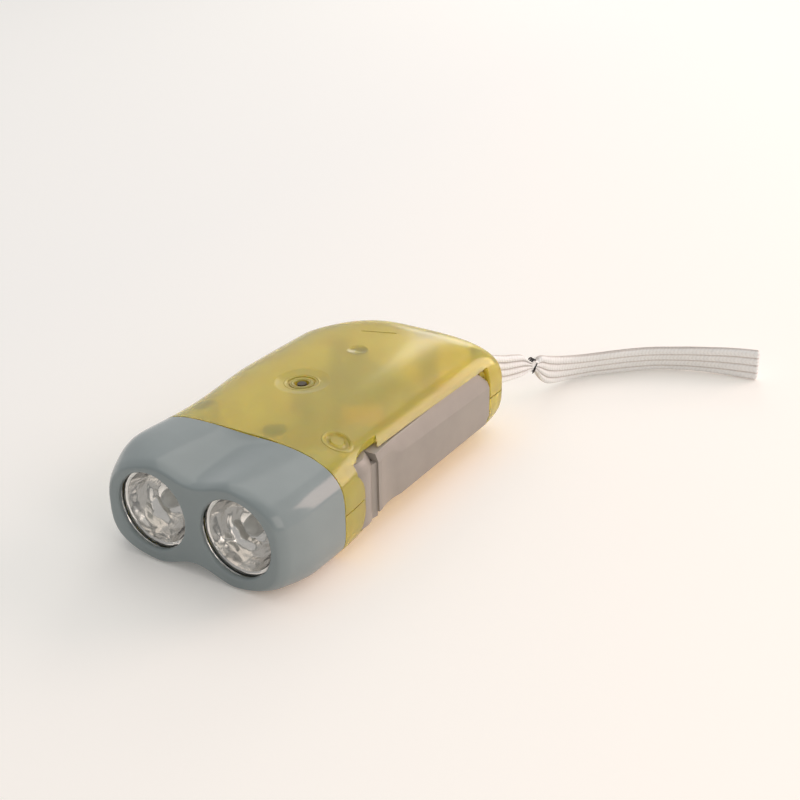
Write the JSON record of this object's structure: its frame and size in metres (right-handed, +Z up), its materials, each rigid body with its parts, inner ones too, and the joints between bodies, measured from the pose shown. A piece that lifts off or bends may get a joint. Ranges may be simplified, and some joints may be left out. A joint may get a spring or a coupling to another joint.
{
  "type": "hand crank flashlight",
  "caption": "Palm-sized dynamo torch with twin lamps in a rounded cap, translucent two-part shell, hinged squeeze lever on one side and a flat wrist strap.",
  "frame": {"origin": "middle of the torch's box on the surface that it lies on, measured without the strap", "axes": "+Z up from the flat underside, -Y the way the lamps shine, +X the side of the squeeze lever"},
  "size_m": [0.1041, 0.165, 0.027],
  "materials": {
    "grey_cap": "polished moulded plastic",
    "grey_lever": "satin moulded plastic",
    "yellow_shell": "translucent tinted plastic",
    "clear_lens": "clear polished plastic",
    "silvered_reflector": "metallised plastic bowl",
    "diode_epoxy": "clear epoxy",
    "circuit_board": "solder mask on fibre board",
    "white_nylon": "moulded nylon",
    "black_plastic": "moulded plastic",
    "dark_casting": "darkened zinc casting",
    "bright_steel": "drawn steel wire and rod",
    "lamination_steel": "stacked steel sheet",
    "ferrite_magnet": "pressed ferrite",
    "copper_wire": "enamelled copper",
    "red_insulation": "vinyl insulation",
    "black_insulation": "vinyl insulation",
    "braid": "flat woven braid"
  },
  "bodies": {
    "housing": {"front_cap": "grey_cap", "top_shell": "yellow_shell", "bottom_shell": "yellow_shell", "left_lens": "clear_lens", "right_lens": "clear_lens", "left_reflector": "silvered_reflector", "right_reflector": "silvered_reflector", "left_led": "diode_epoxy", "right_led": "diode_epoxy", "led_board": "circuit_board", "lever_pin": "bright_steel", "return_spring": "bright_steel", "gear_axle": "bright_steel", "flywheel_axle": "bright_steel", "stator_core": "lamination_steel", "coil_bobbin": "black_plastic", "coil_winding": "copper_wire", "stator_screw_1": "bright_steel", "stator_screw_2": "bright_steel", "front_left_screw": "bright_steel", "front_right_screw": "bright_steel", "rear_left_screw": "bright_steel", "rear_right_screw": "bright_steel", "red_lead": "red_insulation", "black_lead": "black_insulation", "strap_bar": "bright_steel", "wrist_strap": "braid", "strap_clasp": "braid"},
    "lever": {"squeeze_lever": "grey_lever"},
    "gear": {"double_gear": "white_nylon"},
    "pinion": {"clutch_pinion": "white_nylon"},
    "rotor": {"flywheel": "dark_casting", "ring_magnet": "ferrite_magnet"},
    "lock": {"lock_slider": "grey_lever"}
  },
  "joints": [
    {"name": "lever_swing", "type": "hinge", "parent": "housing", "child": "lever", "pos_m": [0.01955, -0.0179, 0.0126], "axis": [0, 0, -1], "range_deg": [0, 24]},
    {"name": "gear_spin", "type": "hinge", "parent": "housing", "child": "gear", "pos_m": [-0.00445, 0.0015, 0.009], "axis": [0, 0, 1], "range_deg": [0, 125]},
    {"name": "pinion_spin", "type": "hinge", "parent": "housing", "child": "pinion", "pos_m": [-0.00265, 0.0243, 0.008], "axis": [0, 0, -1], "range_deg": [0, 313]},
    {"name": "flywheel_spin", "type": "hinge", "parent": "housing", "child": "rotor", "pos_m": [-0.00265, 0.0243, 0.012], "axis": [0, 0, -1], "continuous": true},
    {"name": "lock_slide", "type": "slide", "parent": "housing", "child": "lock", "axis": [0, -1, 0], "range_m": [0, 0.004]}
  ],
  "couplings": [
    {"joint": "gear_spin", "follows": "lever_swing", "ratio": 5.2},
    {"joint": "pinion_spin", "follows": "lever_swing", "ratio": 13}
  ]
}
